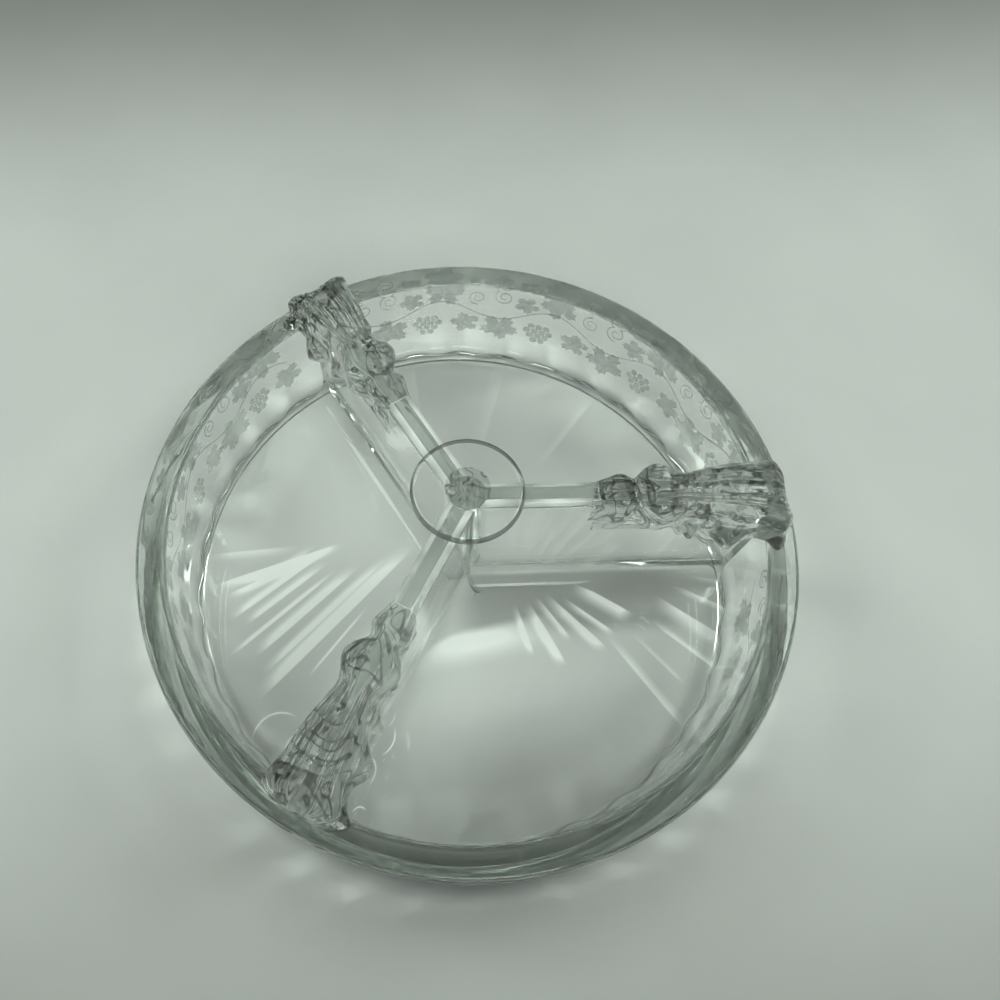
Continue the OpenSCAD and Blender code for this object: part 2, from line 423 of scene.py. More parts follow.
def painted_streak(tree, place, azimuth, beside, start, end, width, strength):
    """One painted line of light: bright at its sharp edge and fading sideways, with soft ends."""
    far, side = along_and_across(tree, place, math.radians(azimuth))
    start, end, beside, width = (BOWL_R * share for share in (start, end, beside, width))
    way = 1 if width > 0 else -1
    sharp = ramp(tree, side, beside - way * STREAK_EDGE, beside + way * STREAK_EDGE)
    soft = ramp(tree, side, beside, beside + width, 1.0, 0.0)
    rise = ramp(tree, far, start, start + (end - start) * 0.40)
    fall = ramp(tree, far, end - (end - start) * 0.25, end, strength, 0.0)
    return product(tree, sharp, soft, rise, fall)


def bright_arc(tree, place, x, y, radius, azimuth, strength):
    """A thin painted arc of light, brightest towards its azimuth and gone on the other side."""
    beside = tree.nodes.new("ShaderNodeVectorMath")
    beside.operation = "SUBTRACT"
    beside.inputs[1].default_value = (x * BOWL_R, y * BOWL_R, 0.0)
    tree.links.new(place, beside.inputs[0])
    distance = tree.nodes.new("ShaderNodeVectorMath")
    distance.operation = "LENGTH"
    tree.links.new(beside.outputs["Vector"], distance.inputs[0])
    off = maths(tree, "ABSOLUTE", maths(tree, "SUBTRACT", distance.outputs["Value"], radius * BOWL_R))
    line = ramp(tree, off, 0.0, ARC_EDGE, strength, 0.0)
    far, side = along_and_across(tree, beside.outputs["Vector"], math.radians(azimuth))
    return maths(tree, "MULTIPLY", line, ramp(tree, far, 0.4 * radius * BOWL_R, radius * BOWL_R))


# The way that the painted bright band in the front compartment runs, and how far beside the axis
BAND_AZIMUTH = math.radians(11)
BAND_BESIDE = -0.235 * BOWL_R


def band_of_light(tree, place):
    """A painted band of light on the table, where the shadow of the divider to the right ends."""
    far, side = along_and_across(tree, place, BAND_AZIMUTH)
    middle = BAND_BESIDE
    near = ramp(tree, side, middle - 0.11 * BOWL_R, middle, 0.0, 1.0)
    beyond = ramp(tree, side, middle, middle + 0.04 * BOWL_R, 1.0, 0.0)
    rise = ramp(tree, far, -0.30 * BOWL_R, -0.05 * BOWL_R)
    fall = ramp(tree, far, 0.05 * BOWL_R, 0.38 * BOWL_R, 0.62, 0.0)
    return product(tree, near, beyond, rise, fall)


def shade_of_divider(tree, place, azimuth, start, end, near, beyond, dark):
    """The painted soft shade beside a divider, between two distances across its direction."""
    far, side = along_and_across(tree, place, azimuth)
    low = ramp(tree, side, near - 0.05 * BOWL_R, near + 0.02 * BOWL_R)
    high = ramp(tree, side, beyond - 0.02 * BOWL_R, beyond + 0.05 * BOWL_R, 1.0, 0.0)
    rise = ramp(tree, far, start, start + 0.15 * BOWL_R)
    fall = ramp(tree, far, end - 0.25 * BOWL_R, end, 1.0, 0.0)
    return maths(tree, "SUBTRACT", 1.0, product(tree, low, high, rise, fall, dark))


def painted_highlight_edge():
    """The rounded upper edges of the bars, with a painted highlight: matt white mixed into the glass in
    bright broken lines.
    """
    material = pressed_glass("painted_highlight_edge", 1.0)
    nodes = material.node_tree.nodes
    links = material.node_tree.links
    place = nodes.new("ShaderNodeTexCoord")
    broken = nodes.new("ShaderNodeTexNoise")
    broken.inputs["Scale"].default_value = PAINTED_HIGHLIGHT_SCALE
    links.new(place.outputs["Object"], broken.inputs["Vector"])
    share = ramp(material.node_tree, broken.outputs["Fac"], 0.35, 0.65, *PAINTED_HIGHLIGHT_SHARE)
    painted_shine = nodes.new("ShaderNodeBsdfDiffuse")
    painted_shine.inputs["Color"].default_value = PAINTED_HIGHLIGHT_COLOUR
    both = nodes.new("ShaderNodeMixShader")
    links.new(share, both.inputs["Fac"])
    links.new(nodes["Glass BSDF"].outputs["BSDF"], both.inputs[1])
    links.new(painted_shine.outputs["BSDF"], both.inputs[2])
    links.new(both.outputs["Shader"], nodes["Material Output"].inputs["Surface"])
    return material


# Painted light and shade in the table's colour: at the far side, at the near side, beside the wall and
# under it, and beside the divider to the right, as what is left of the light or, for the last three,
# what is taken
PAINTED_FAR_LIGHT = 0.44
PAINTED_NEAR_LIGHT = 0.57
BESIDE_WALL_SHADE = 0.30
UNDER_WALL_SHADE = 0.45
DIVIDER_SHADE = 0.42
# The table's own paleness, how much the painted marks of light add, and the palest it can be
TABLE_TONE = 0.66
PAINTED_LIGHT_MARKS = 0.75
PALEST_TONE = 0.99
TABLE_GRAIN_SCALE = 14.0


def table_top():
    """Pale satin table, with a soft painted spread of light, the dish's painted shade and painted marks
    of light in its colour.
    """
    material, nodes, links, shader = node_material("table_top")
    tree = material.node_tree
    shader.inputs["Roughness"].default_value = 0.8
    shader.inputs["Specular IOR Level"].default_value = 0.2
    place = nodes.new("ShaderNodeTexCoord").outputs["Object"]
    flat = nodes.new("ShaderNodeSeparateXYZ")
    links.new(place, flat.inputs["Vector"])
    distance = nodes.new("ShaderNodeVectorMath")
    distance.operation = "LENGTH"
    links.new(place, distance.inputs[0])
    away = distance.outputs["Value"]

    y = flat.outputs["Y"]
    # Painted light: it falls off towards the far side, and painted shade darkens the near side
    painted_far_falloff = ramp(tree, y, 0.13, 0.30, 1.0, PAINTED_FAR_LIGHT)
    painted_near_shade = ramp(tree, y, -0.15, 0.0, PAINTED_NEAR_LIGHT, 1.0)
    # Painted shadow of the dish on the table in front of it
    beside = ramp(tree, away, BOWL_R, 1.35 * BOWL_R, BESIDE_WALL_SHADE, 0.0)
    painted_shadow_front = ramp(tree, y, -1.0 * BOWL_R, -0.3 * BOWL_R, 1.0, 0.0)
    painted_dish_shadow = maths(tree, "SUBTRACT", 1.0, product(tree, beside, painted_shadow_front))
    # Painted shade on the table under the wall, from the well's edge to just past the rim
    from_well = ramp(tree, away, WELL_R, WELL_R + 2.5 * MM)
    to_outside = ramp(tree, away, BOWL_R - 1.0 * MM, BOWL_R + 5.0 * MM, 1.0, 0.0)
    ring = maths(tree, "SUBTRACT", 1.0, product(tree, from_well, to_outside, UNDER_WALL_SHADE))
    # Painted shadow of the divider to the right on the table
    shade = shade_of_divider(
        tree, place, 0.0, -0.06 * BOWL_R, 0.95 * BOWL_R, -0.20 * BOWL_R, 0.04 * BOWL_R, DIVIDER_SHADE)
    tone = product(tree, painted_far_falloff, painted_near_shade, ring, painted_dish_shadow, shade)

    grain = nodes.new("ShaderNodeTexNoise")
    grain.inputs["Scale"].default_value = TABLE_GRAIN_SCALE
    grain.inputs["Detail"].default_value = 5.0
    links.new(place, grain.inputs["Vector"])
    tone = maths(tree, "MULTIPLY", tone, ramp(tree, grain.outputs["Fac"], 0.3, 0.7, 0.97, 1.03))
    # Painted marks of light: the band, the streaks and the arcs, added to the table's colour
    light = band_of_light(tree, place)
    for row in PAINTED_STREAK_SHARES:
        light = maths(tree, "ADD", light, painted_streak(tree, place, *row))
    for row in PAINTED_ARC_SHARES:
        light = maths(tree, "ADD", light, bright_arc(tree, place, *row))
    tone = maths(tree, "ADD", product(tree, tone, TABLE_TONE), product(tree, light, PAINTED_LIGHT_MARKS))
    capped = maths(tree, "MINIMUM", tone, PALEST_TONE)
    grey = nodes.new("ShaderNodeCombineColor")
    for channel in ("Red", "Green", "Blue"):
        links.new(capped, grey.inputs[channel])
    links.new(grey.outputs["Color"], shader.inputs["Base Color"])
    return material


GLASS = pressed_glass("pressed_glass", 1.0)
# The disc's rounded edge: glass tinted darker, as painted shade for the dark look that its rounding
# gives it
PAINTED_SHADE_EDGE_GLASS = pressed_glass("painted_shade_edge_glass", 0.42)
# The leaves and the post: slightly darker glass with dark contours painted along its ripples, as
# painted shade for the dark and pale contours that the mould's small waves bend the light into
WAVY_GLASS = pressed_glass("wavy_glass", 0.88, 140.0, 1.1 * MM, 0.52)
# The middle of the disc, over the place where the three dividers meet in a dark knot: glass tinted
# darker, with dark contours, as painted shade for that knot
PAINTED_SHADE_KNOT_GLASS = pressed_glass("painted_shade_knot_glass", 0.78, 260.0, 0.5 * MM, 0.6)
PAINTED_HIGHLIGHT_EDGE = painted_highlight_edge()
SEAM = inner_face()
FROST = frosting()


# The bowl: foot, floor, fluted wall and rim in one skin

def bowl_profile():
    """From the middle of the underside, out and up round the rim, and in to the middle of the well."""
    r_out = BOWL_R - WALL_INSET
    foot_in = FOOT_R - FOOT_W
    points = [(0.0, FOOT_TOP), (foot_in * 0.5, FOOT_TOP), (foot_in, FOOT_TOP)]
    points += arc((foot_in + FOOT_EDGE_R, FOOT_EDGE_R), FOOT_EDGE_R, 180, 270, 4)
    points += arc((FOOT_R - FOOT_EDGE_R, FOOT_EDGE_R), FOOT_EDGE_R, 270, 360, 4)
    curve_middle = (r_out - BASE_CURVE_R, FOOT_TOP + BASE_CURVE_R)
    start = math.degrees(math.asin((FOOT_R - curve_middle[0]) / BASE_CURVE_R)) - 90
    points += arc(curve_middle, BASE_CURVE_R, start, 0, 12)
    wall_low = FOOT_TOP + BASE_CURVE_R
    points += [(r_out, wall_low + (BAND_Z - wall_low) * i / 8) for i in range(1, 8)]
    points += [(r_out, BAND_Z)]
    points += arc((BOWL_R - RIM_EDGE_R, RIM_Z - RIM_EDGE_R), RIM_EDGE_R, 0, 90, 8)
    points += arc((WELL_R + RIM_EDGE_R, RIM_Z - RIM_EDGE_R), RIM_EDGE_R, 90, 180, 8)
    low = FLOOR_Z + WELL_CORNER_R
    high = RIM_Z - RIM_EDGE_R
    points += [(WELL_R, high + (low - high) * i / 24) for i in range(1, 24)]
    points += arc((WELL_R - WELL_CORNER_R, low), WELL_CORNER_R, 0, -90, 8)
    points += [(WELL_R * share, FLOOR_Z) for share in (0.9, 0.75, 0.6, 0.45, 0.3, 0.15)]
    points += [(0.0, FLOOR_Z)]
    return points


def fluted_radius(r, z, angle):
    """Draws the inner wall in between the flutes, most at the floor and fading out upwards."""
    inside = r > WELL_R - WELL_CORNER_R - 1e-6 and r < WELL_R + 1e-6 and z > FLOOR_Z - 1e-6
    if not inside:
        return r
    fade = max(0.0, 1.0 - (z - FLOOR_Z) / RIB_FADE)
    near_wall = (r - (WELL_R - WELL_CORNER_R)) / WELL_CORNER_R
    wave = (1.0 - math.cos(FLUTE_COUNT * angle)) / 2
    return r - RIB_DEPTH * fade * near_wall * wave ** 1.4


def bowl():
    return lathe("pressing", bowl_profile(), FLUTE_COUNT * 12, fluted_radius)


# The dividers and their crests, each one sweep from the middle to the rim

# Sections of a crest: shares of its length, of its half width at the leaf's edge and at the lobes
# below it, of its height above the rim, of the hollow's depth, and of the drop from seat to rim
CREST_SHARES = [
    (0.000, 0.38, 0.38, 0.90, 0.00, 0.00),
    (0.040, 0.43, 0.42, 0.93, 0.00, 0.05),
    (0.115, 0.53, 0.50, 0.98, 0.00, 0.25),
    (0.180, 0.42, 0.40, 0.92, 0.00, 0.05),
    (0.240, 0.68, 0.58, 0.98, 0.00, 0.35),
    (0.310, 0.80, 0.70, 1.00, 0.05, 0.60),
    (0.420, 0.56, 0.58, 0.94, 0.25, 0.50),
    (0.495, 0.62, 0.85, 0.95, 0.70, 1.20),
    (0.560, 0.68, 0.66, 0.97, 0.95, 0.80),
    (0.680, 0.79, 1.12, 0.98, 1.00, 1.50),
    (0.790, 0.84, 0.90, 0.93, 1.00, 1.10),
    (0.873, 0.95, 1.00, 0.86, 0.90, 1.00),
    (0.926, 1.00, 1.28, 0.76, 0.70, 1.00),
    (0.970, 0.80, 1.10, 0.60, 0.40, 1.00),
    (1.000, 0.50, 0.80, 0.36, 0.00, 1.00),
]
CREST_STEPS = 8
# Half outline of a section: shares of the height, of the lobe's and of the leaf's half width
SIDE_SHARES = [
    (0.00, 0.35, 0.00),
    (0.17, 1.00, 0.00),
    (0.36, 0.92, 0.08),
    (0.52, 0.36, 0.50),
    (0.72, 0.00, 1.00),
    (0.90, 0.00, 0.98),
]
# Half outline of the hollow in a leaf, with two fine ridges: shares of its half width and its depth
HOLLOW_SHARES = [
    (0.74, 0.00),
    (0.62, 0.34),
    (0.54, 0.24),
    (0.42, 0.70),
    (0.32, 0.56),
    (0.18, 0.96),
    (0.00, 1.00),
]
SIDE_STEPS = 4
# Height over which the underside of a crest flares out of the divider's wall
FLARE_H = 9.0 * MM


def smooth_value(a, b, c, d, t):
    """Smooth value between b and c at share t, where a and d are their outer neighbours."""
    return b + t * ((c - a) / 2 + t * (a - 2.5 * b + 2 * c - d / 2 + t * (1.5 * (b - c) + (d - a) / 2)))


def smooth_rows(rows, steps):
    """The rows of a table with smooth rows in between."""
    last = len(rows) - 1
    made = []
    for k in range(last * steps + 1):
        i, t = divmod(k / steps, 1.0)
        near = [rows[max(0, min(last, int(i) + n))] for n in (-1, 0, 1, 2)]
        made.append([smooth_value(*values, t) for values in zip(*near)])
    return made


def fillet_side(top_z):
    """Half section of a divider's wall: the fillet on the floor, then the plain side up to top_z."""
    half = BAR_T / 2
    points = [(half + BAR_FILLET_R, FLOOR_Z - 0.5 * MM)]
    for i in range(9):
        angle = math.radians(-90 - 90 * i / 8)
        points.append((half + BAR_FILLET_R + BAR_FILLET_R * math.cos(angle),
                       FLOOR_Z + BAR_FILLET_R + BAR_FILLET_R * math.sin(angle)))
    low = FLOOR_Z + BAR_FILLET_R
    points += [(half, low + (top_z - low) * i / 4) for i in range(1, 5)]
    return points


def crown_side(half_edge, half_lobe, base_z, top_z, depth):
    """Half section of a crest: out of the wall, over the lobe and the leaf's edge, into the hollow."""
    half = BAR_T / 2
    height = top_z - base_z
    marks = [(half, base_z - FLARE_H), (half * 0.93 + half_lobe * 0.07, base_z - FLARE_H * 0.4)]
    for h, lobe, leaf in SIDE_SHARES:
        across = half * (1 - lobe - leaf) + half_lobe * lobe + half_edge * leaf
        marks.append((across, base_z + height * h))
    for across, down in HOLLOW_SHARES:
        marks.append((half_edge * across, top_z - depth * down))
    mirrored = marks + [(-marks[-2][0], marks[-2][1])]
    rows = smooth_rows(mirrored, SIDE_STEPS)[:-SIDE_STEPS]
    return [(y, z) for y, z in rows][1:]


def divider_section(x, half_edge, half_lobe, base_z, top_z, depth):
    half = fillet_side(base_z - FLARE_H) + crown_side(half_edge, half_lobe, base_z, top_z, depth)
    ring = [(x, y, z) for y, z in half]
    ring += [(x, -y, z) for y, z in reversed(half[:-1])]
    return ring


def bar_section(x, count):
    """Section of the plain bar with rounded upper edges, with as many points as a crest's section."""
    half = BAR_T / 2
    low = fillet_side(SEAT_Z - FLARE_H)
    middle = (half - BAR_EDGE_R, BAR_TOP - BAR_EDGE_R)
    corner = arc(middle, BAR_EDGE_R, 0, 90, 8)
    rest = count - len(low) - len(corner)
    up = rest // 2
    side = [(half, low[-1][1] + (corner[0][1] - low[-1][1]) * i / (up + 1)) for i in range(1, up + 1)]
    across = rest - up
    top = [(corner[-1][0] * (1 - i / across), BAR_TOP) for i in range(1, across + 1)]
    points = low + side + corner + top
    ring = [(x, y, z) for y, z in points]
    ring += [(x, -y, z) for y, z in reversed(points[:-1])]
    return ring


def divider_sections():
    """The plain bar from the middle outwards, and then the crest's sections."""
    crest = []
    for s in smooth_rows(CREST_SHARES, CREST_STEPS):
        x = CREST_START + (CREST_END - CREST_START) * s[0]
        crest.append(divider_section(
            x, CREST_HALF_W * s[1], CREST_HALF_W * s[2],
            RIM_Z + (SEAT_Z - RIM_Z) * (1 - max(0.0, s[5])),
            RIM_Z + (CREST_TOP - RIM_Z) * s[3], HOLLOW_DEPTH * max(0.0, s[4])))
    count = (len(crest[0]) + 1) // 2
    plain_steps = 6
    plain = [bar_section(CREST_START * 0.985 * i / plain_steps, count) for i in range(plain_steps + 1)]
    return plain + crest


def divider(azimuth):
    item = sweep("divider_body", divider_sections())
    item.data.transform(Matrix.Rotation(azimuth, 4, "Z"))
    return item


# The centre: the post with its neck, and the disc over it

def post_profile(low_z, high_z):
    """The post's outline: a foot that flares into the dividers' fillets, and a slim round core."""
    points = []
    for i in range(9):
        angle = math.radians(90 * i / 8)
        points.append((POST_FOOT_R - (POST_FOOT_R - POST_R) * math.sin(angle),
                       low_z + BAR_FILLET_R * (1 - math.cos(angle))))
    return [(0.0, low_z)] + points + [(POST_R, high_z)]


def centre():
    rounds = post_profile(FLOOR_Z - 0.1 * MM, BAR_TOP)
    rounds += arc((NECK_R, DISC_Z - (NECK_R - POST_R)), NECK_R - POST_R, 180, 90, 5)[1:]
    rounds += [(DISC_R - DISC_EDGE_R, DISC_Z)]
    rounds += arc((DISC_R - DISC_EDGE_R, DISC_Z + DISC_EDGE_R), DISC_EDGE_R, 270, 360, 6)[1:]
    rounds += arc((DISC_R - DISC_EDGE_R, DISC_TOP - DISC_EDGE_R), DISC_EDGE_R, 0, 90, 6)
    rounds += [(KNOT_R, DISC_TOP), (0.0, DISC_TOP)]
    return lathe("centre_body", rounds, 120)


# The cutters that part the pressing into its pieces

def block(name, low, high, azimuth=0.0):
    xs, ys, zs = zip(low, high)
    corners = [(x, y, z) for z in zs for y in ys for x in xs]
    faces = [(0, 2, 3, 1), (4, 5, 7, 6), (0, 1, 5, 4), (2, 6, 7, 3), (0, 4, 6, 2), (1, 3, 7, 5)]
    item = new_object(name, corners, faces)
    item.data.transform(Matrix.Rotation(azimuth, 4, "Z"))
    item.data.materials.append(SEAM)
    recalc_outward(item)
    return item


def part_off(body, name, cutter):
    """Takes the cutter's share of the body as a new piece, and leaves the rest in the body."""
    piece = copy_of(body, name)
    boolean(piece, cutter, "INTERSECT")
    boolean(body, cutter, "DIFFERENCE")
    drop(cutter)
    return piece


def pressing():
    body = bowl()
    body.data.materials.append(GLASS)
    for azimuth in DIVIDERS.values():
        other = divider(azimuth)
        other.data.materials.append(GLASS)
        boolean(body, other, "UNION")
        drop(other)
    middle = centre()
    middle.data.materials.append(GLASS)
    boolean(body, middle, "UNION")
    drop(middle)
    return body


def sector(azimuth, low_z, high_z):
    """The third of the round space that holds one divider, as a cutter."""
    far = 2 * BOWL_R
    across = far * math.tan(TURN / 6)
    outline = [(0, 0), (far, -across), (far, across)]
    corners = [(x, y, z) for z in (low_z, high_z) for x, y in outline]
    faces = [(2, 1, 0), (3, 4, 5), (0, 1, 4, 3), (1, 2, 5, 4), (2, 0, 3, 5)]
    item = new_object("sector", corners, faces)
    item.data.transform(Matrix.Rotation(azimuth, 4, "Z"))
    item.data.materials.append(SEAM)
    recalc_outward(item)
    return item


def well_plug():
    """The round space inside the ribs and over the floor, as a cutter."""
    low = FLOOR_Z + SEAM_GAP
    inner = WELL_R - RIB_DEPTH - 0.4 * MM
    corner = WELL_R - WELL_CORNER_R - 0.3 * MM
    high = 2 * BOWL_R
    corner_z = low + WELL_CORNER_R + 0.2 * MM
    profile = [(0, low), (corner, low), (inner, corner_z), (inner, high), (0, high)]
    item = lathe("well_plug", profile, 180)
    item.data.materials.append(SEAM)
    return item


def crest_space(azimuth):
    """The space over the rim's plane from the crest's inner end outwards, as a cutter."""
    far = 2 * BOWL_R
    item = sector(azimuth, RIM_Z + SEAM_GAP, far)
    outer = block("outer", (CREST_START, -far, 0), (far, far, far), azimuth)
    boolean(item, outer, "INTERSECT")
    drop(outer)
    return item


def divider_space(azimuth):
    item = sector(azimuth, 0, 2 * BOWL_R)
    plug = well_plug()
    boolean(item, plug, "INTERSECT")
    drop(plug)
    return item


def post_space():
    profile = post_profile(FLOOR_Z + SEAM_GAP, 2 * BOWL_R) + [(0.0, 2 * BOWL_R)]
    item = lathe("post_space", profile, 96)
    item.data.materials.append(SEAM)
    return item


def part_pressing(body):
    far = 2 * BOWL_R
    pieces = {}
    wide = DISC_R * 1.2
    over_post = block("cutter", (-wide, -wide, DISC_Z), (wide, wide, far))
    pieces["centre_disc"] = part_off(body, "centre_disc_glass", over_post)
    pieces["centre_post"] = part_off(body, "centre_post_glass", post_space())
    for place, azimuth in DIVIDERS.items():
        pieces["crest_" + place] = part_off(body, "crest_%s_glass" % place, crest_space(azimuth))
        pieces["divider_" + place] = part_off(body, "divider_%s_glass" % place, divider_space(azimuth))
    for node, low_z in (("rim", BAND_Z), ("side_wall", FLOOR_Z), ("floor", FOOT_TOP)):
        over = block("cutter", (-far, -far, low_z), (far, far, far))
        pieces[node] = part_off(body, node + "_glass", over)
    body.name = "foot_ring_glass"
    pieces["foot_ring"] = body
    return pieces


# Faces that meet at a wider angle than this keep a sharp edge
SHARP_ANGLE = math.radians(38)
WAVY_SHARP_ANGLE = math.radians(75)
# Upward lean of the faces in a bar's rounded edge that carry the painted highlight line
PAINTED_HIGHLIGHT_SLOPE = (0.45, 0.98)


def paint_disc_shade(piece):
    """Gives the faces round the disc and those over the post a darker tint, as painted shade for the
    darker look they have in glass.
    """
    piece.data.materials.append(PAINTED_SHADE_EDGE_GLASS)
    piece.data.materials.append(PAINTED_SHADE_KNOT_GLASS)
    edge_index = len(piece.data.materials) - 2
    for face in piece.data.polygons:
        away = math.hypot(face.center.x, face.center.y)
        if abs(face.normal.z) < 0.9 and away > DISC_R - DISC_EDGE_R:
            face.material_index = edge_index
        elif away < KNOT_R and face.center.z > DISC_TOP - DISC_EDGE_R:
            face.material_index = edge_index + 1


def paint_edge_highlights(piece):
    """Gives the middle of each rounded upper edge of a bar its painted highlight line."""
    piece.data.materials.append(PAINTED_HIGHLIGHT_EDGE)
    for face in piece.data.polygons:
        on_edge = PAINTED_HIGHLIGHT_SLOPE[0] < face.normal.z < PAINTED_HIGHLIGHT_SLOPE[1]
        if on_edge and face.center.z > BAR_TOP - BAR_EDGE_R:
            face.material_index = len(piece.data.materials) - 1


def make_wavy(piece):
    for slot in piece.material_slots:
        if slot.material == GLASS:
            slot.material = WAVY_GLASS


def finish_glass(piece, node, sharp_angle):
    piece.data.polygons.foreach_set("use_smooth", [True] * len(piece.data.polygons))
    piece.data.set_sharp_from_angle(angle=sharp_angle)
    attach(piece, "root")
    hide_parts(node)


glass_pieces = part_pressing(pressing())
paint_disc_shade(glass_pieces["centre_disc"])
for node, piece in glass_pieces.items():
    wavy = node.startswith("crest") or node == "centre_post"
    if wavy:
        make_wavy(piece)
    # The bars' upper edges get their painted highlight
    if node.startswith("divider"):
        paint_edge_highlights(piece)
    finish_glass(piece, node, WAVY_SHARP_ANGLE if wavy else SHARP_ANGLE)


# The etched border: a vine round the outer wall in each compartment, in thin frosted plates

FROST_IN = BOWL_R - 0.25 * MM
FROST_OUT = BOWL_R - 0.02 * MM
# Azimuth that the border keeps off the dividers on both sides
VINE_MARGIN = math.radians(9)
VINE_REPEATS = 4
VINE_Z = (FLOOR_Z + RIM_Z) / 2 + 0.5 * MM
STEM_SWING = 3.6 * MM
STEM_WIDTH = 0.55 * MM
TENDRIL_WIDTH = 0.40 * MM
LEAF_R = 6.4 * MM
# Leaves of one repeat: share of the way along it, height from the vine, share of the size, the most
# that it leans by chance, and the way that it points
LEAF_PLACES = [
    (0.22, 7.4 * MM, 1.00, 0.5, TURN / 4),
    (0.72, -7.6 * MM, 1.05, 0.5, -TURN / 4),
    (0.03, -6.4 * MM, 0.80, 0.6, 0.0),
    (0.50, 4.6 * MM, 0.66, 0.6, 0.0),
]
GRAPE_R = 1.15 * MM


class Skin:
    """Collects the plates of one compartment, drawn as ways along the wall and heights."""

    def __init__(self, start):
        self.start = start
        self.vertices = []
        self.faces = []

    def put(self, along, z, radius):
        angle = self.start + along / BOWL_R
        self.vertices.append((radius * math.cos(angle), radius * math.sin(angle), z))
        return len(self.vertices) - 1

    def plate(self, middle, outline):
        """A thin plate with a star-shaped outline, as a fan round its middle on both sides."""
        rings = []
        for radius in (FROST_IN, FROST_OUT):
            hub = self.put(*middle, radius)
            rings.append((hub, [self.put(along, z, radius) for along, z in outline]))
        (hub_in, inner), (hub_out, outer) = rings
        for k in range(len(outline)):
            after = (k + 1) % len(outline)
            self.faces.append((hub_in, inner[after], inner[k]))
            self.faces.append((hub_out, outer[k], outer[after]))
            self.faces.append((inner[k], inner[after], outer[after], outer[k]))

    def ribbon(self, line, width):
        """A thin ribbon along a line, narrower at its end."""
        rows = []
        for i, (along, z) in enumerate(line):
            before = line[max(0, i - 1)]
            after = line[min(len(line) - 1, i + 1)]
            run = (after[0] - before[0], after[1] - before[1])
            length = math.hypot(*run)
            half = width / 2 * (1.0 - 0.5 * i / len(line))
            side = (-run[1] / length * half, run[0] / length * half)
            row = []
            for way, radius in ((-1, FROST_IN), (1, FROST_IN), (1, FROST_OUT), (-1, FROST_OUT)):
                row.append(self.put(along + way * side[0], z + way * side[1], radius))
            rows.append(row)
        for a, b in zip(rows, rows[1:]):
            for k in range(4):
                after = (k + 1) % 4
                self.faces.append((a[k], a[after], b[after], b[k]))
        self.faces.append(tuple(reversed(rows[0])))
        self.faces.append(tuple(rows[-1]))


def leaf(skin, along, z, size, turn):
    """A vine leaf: five pointed lobes with a toothed edge, and a notch where the stalk comes in."""
    outline = []
    steps = 72
    for k in range(steps):
        angle = TURN * k / steps
        lobes = 0.58 + 0.42 * abs(math.cos(2.5 * angle)) ** 0.9
        teeth = 1.0 + 0.10 * math.cos(20 * angle)
        notch = 1.0 - 0.45 * math.exp(-((angle - TURN / 2) / 0.20) ** 2)
        radius = size * lobes * teeth * notch
        across = along + radius * math.cos(angle + turn)
        outline.append((across, z + 0.90 * radius * math.sin(angle + turn)))
    skin.plate((along, z), outline)


def grapes(skin, along, z):
    """A bunch of grapes: rows of small discs, fewer towards the tip."""
    step = GRAPE_R * 2.15
    for row, count in enumerate((3, 4, 3, 2)):
        for k in range(count):
            place = (along + step * (k - (count - 1) / 2), z - row * step * 0.86)
            outline = arc(place, GRAPE_R, 0, 360, 12)[:-1]
            skin.plate(place, outline)


def tendril(skin, along, z, size, way):
    line = []
    for k in range(31):
        share = k / 30
        angle = way * (TURN * 1.6 * share - TURN / 4)
        radius = size * (1.0 - 0.78 * share)
        line.append((along + radius * math.cos(angle), z + radius * math.sin(angle)))
    skin.ribbon(line, TENDRIL_WIDTH)


def vine(name, azimuth):
    """The border of the compartment that starts at an azimuth."""
    skin = Skin(azimuth + VINE_MARGIN)
    length = (TURN / 3 - 2 * VINE_MARGIN) * BOWL_R
    step = length / VINE_REPEATS
    stem = []
    for k in range(VINE_REPEATS * 16 + 1):
        share = k / (VINE_REPEATS * 16)
        stem.append((length * share, VINE_Z + STEM_SWING * math.sin(TURN * VINE_REPEATS * share)))
    skin.ribbon(stem, STEM_WIDTH)
    for k in range(VINE_REPEATS):
        along = step * k
        way = 1 if k % 2 else -1
        size = LEAF_R * random.uniform(0.92, 1.08)
        for share, height, size_share, lean, turn in LEAF_PLACES:
            leaf_turn = random.uniform(-lean, lean) + turn
            leaf(skin, along + step * share, VINE_Z + height, size * size_share, leaf_turn)
        grapes(skin, along + step * 0.37, VINE_Z - 4.2 * MM)
        tendril(skin, along + step * 0.70, VINE_Z + 6.6 * MM, 3.4 * MM, way)
        tendril(skin, along + step * 0.93, VINE_Z + 5.4 * MM, 3.0 * MM, -way)
    item = new_object(name, skin.vertices, skin.faces)
    recalc_outward(item)
    item.data.materials.append(FROST)
    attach(item, "root")
    return item


random.seed(7)
for place, azimuth in DIVIDERS.items():
    vine("vine_from_" + place, azimuth)


# The table, which is no piece of the dish

def table():
    half = 3.0
    corners = [(-half, -half), (half, -half), (half, half), (-half, half)]
    item = new_object("table", [(x, y, -TABLE_GAP) for x, y in corners], [(0, 1, 2, 3)])
    item.data.materials.append(table_top())


table()


# The camera: the photograph's angle, from a phone held over the near side of the rim

CAMERA_TILT = math.radians(65.71)
CAMERA_ROLL = math.radians(-1.77)
CAMERA_DISTANCE = 2.4328
CAMERA_RIGHT = 0.1417
CAMERA_DOWN = 0.0233
FOCAL_PIXELS = 800.0
MIDDLE_PIXELS = (417.8, 514.4)
IMAGE_PIXELS = 1000.0


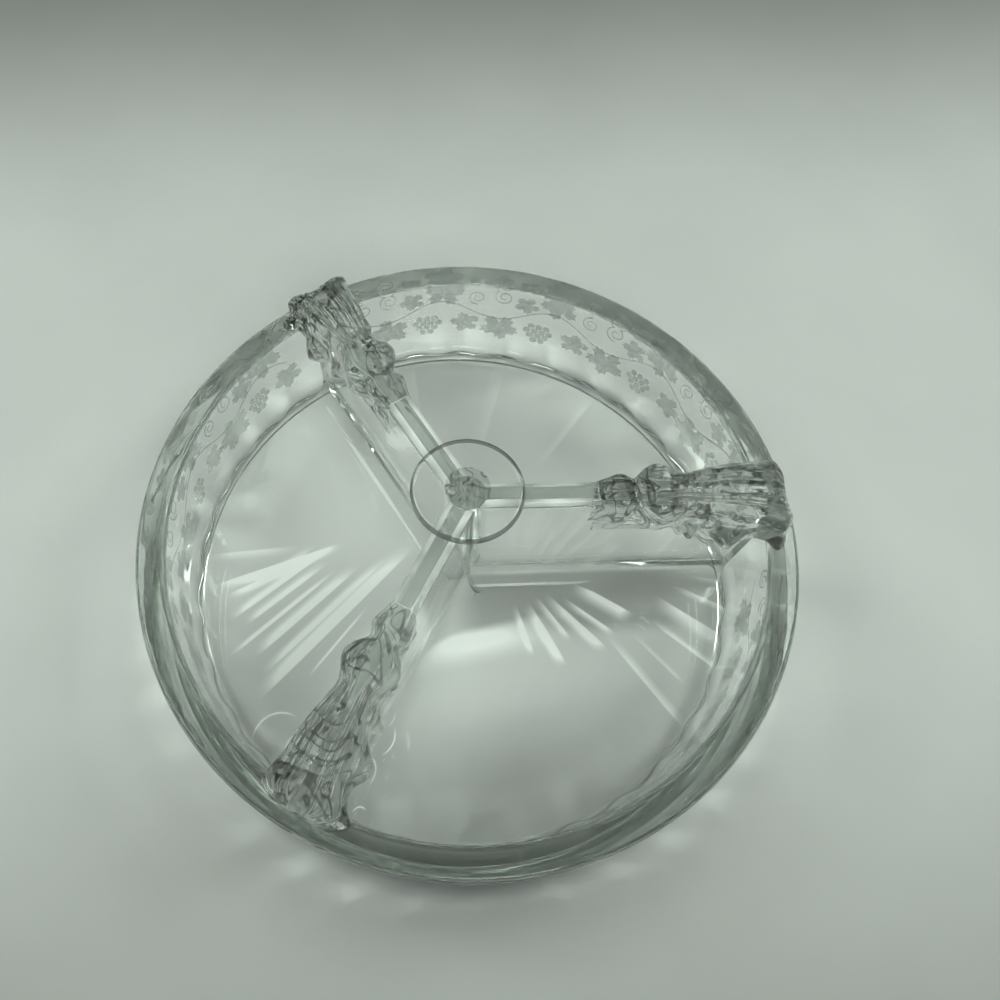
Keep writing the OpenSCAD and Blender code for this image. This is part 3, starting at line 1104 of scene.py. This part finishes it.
def camera():
    """Places the camera from its tilt, roll and distance, which is counted in radii of the rim."""
    down = Vector((0.0, -math.sin(CAMERA_TILT), -math.cos(CAMERA_TILT)))
    right = Vector((1.0, 0.0, 0.0))
    ahead = Vector((0.0, math.cos(CAMERA_TILT), -math.sin(CAMERA_TILT)))
    rolled_right = right * math.cos(CAMERA_ROLL) - down * math.sin(CAMERA_ROLL)
    rolled_down = right * math.sin(CAMERA_ROLL) + down * math.cos(CAMERA_ROLL)
    away = rolled_right * CAMERA_RIGHT + rolled_down * CAMERA_DOWN + ahead * CAMERA_DISTANCE
    lens = bpy.data.cameras.new("camera")
    lens.sensor_width = 36.0
    lens.lens = FOCAL_PIXELS / IMAGE_PIXELS * lens.sensor_width
    lens.shift_x = 0.5 - MIDDLE_PIXELS[0] / IMAGE_PIXELS
    lens.shift_y = MIDDLE_PIXELS[1] / IMAGE_PIXELS - 0.5
    lens.clip_start = 0.01
    item = bpy.data.objects.new("camera", lens)
    axes = Matrix((rolled_right, -rolled_down, -ahead)).transposed()
    item.matrix_world = Matrix.Translation(Vector((0, 0, RIM_Z)) - away * BOWL_R) @ axes.to_4x4()
    bpy.context.scene.collection.objects.link(item)
    bpy.context.scene.camera = item


camera()


# Plain soft studio light: three lamps round the dish, none where its floor would mirror it

LAMP_COLOUR = (0.90, 1.0, 0.91)
LAMP_TARGET = Vector((0.0, 0.03, 0.02))
ROOM_COLOUR = (0.89, 1.0, 0.90, 1.0)
ROOM_STRENGTH = 0.15


def area_light(name, place, size, power):
    lamp = bpy.data.lights.new(name, "AREA")
    lamp.shape = "RECTANGLE"
    lamp.size, lamp.size_y = size
    lamp.energy = power
    lamp.color = LAMP_COLOUR
    item = bpy.data.objects.new(name, lamp)
    turn = (LAMP_TARGET - Vector(place)).to_track_quat("-Z", "Y").to_matrix().to_4x4()
    item.matrix_world = Matrix.Translation(Vector(place)) @ turn
    bpy.context.scene.collection.objects.link(item)


# Each lamp's place, the two sides of its face and its power in watts
LAMPS = {
    "lamp_left": ((-0.44, 0.14, 0.55), (0.24, 0.24), 1.7),
    "lamp_right": ((0.48, 0.14, 0.55), (0.24, 0.24), 1.7),
    "lamp_front": ((0.04, -0.40, 0.52), (0.26, 0.20), 1.5),
}
for name, (place, size, power) in LAMPS.items():
    area_light(name, place, size, power)

world = bpy.data.worlds.new("room")
world.use_nodes = True
background = world.node_tree.nodes["Background"]
background.inputs["Color"].default_value = ROOM_COLOUR
background.inputs["Strength"].default_value = ROOM_STRENGTH
scene = bpy.context.scene
scene.world = world
scene.view_settings.view_transform = "Standard"
# Light crosses many faces of the glass on its way, so it gets many bounces and isn't blurred
scene.cycles.blur_glossy = 0.0
scene.cycles.max_bounces = 48
scene.cycles.transmission_bounces = 24
scene.cycles.glossy_bounces = 40
scene.cycles.transparent_max_bounces = 32
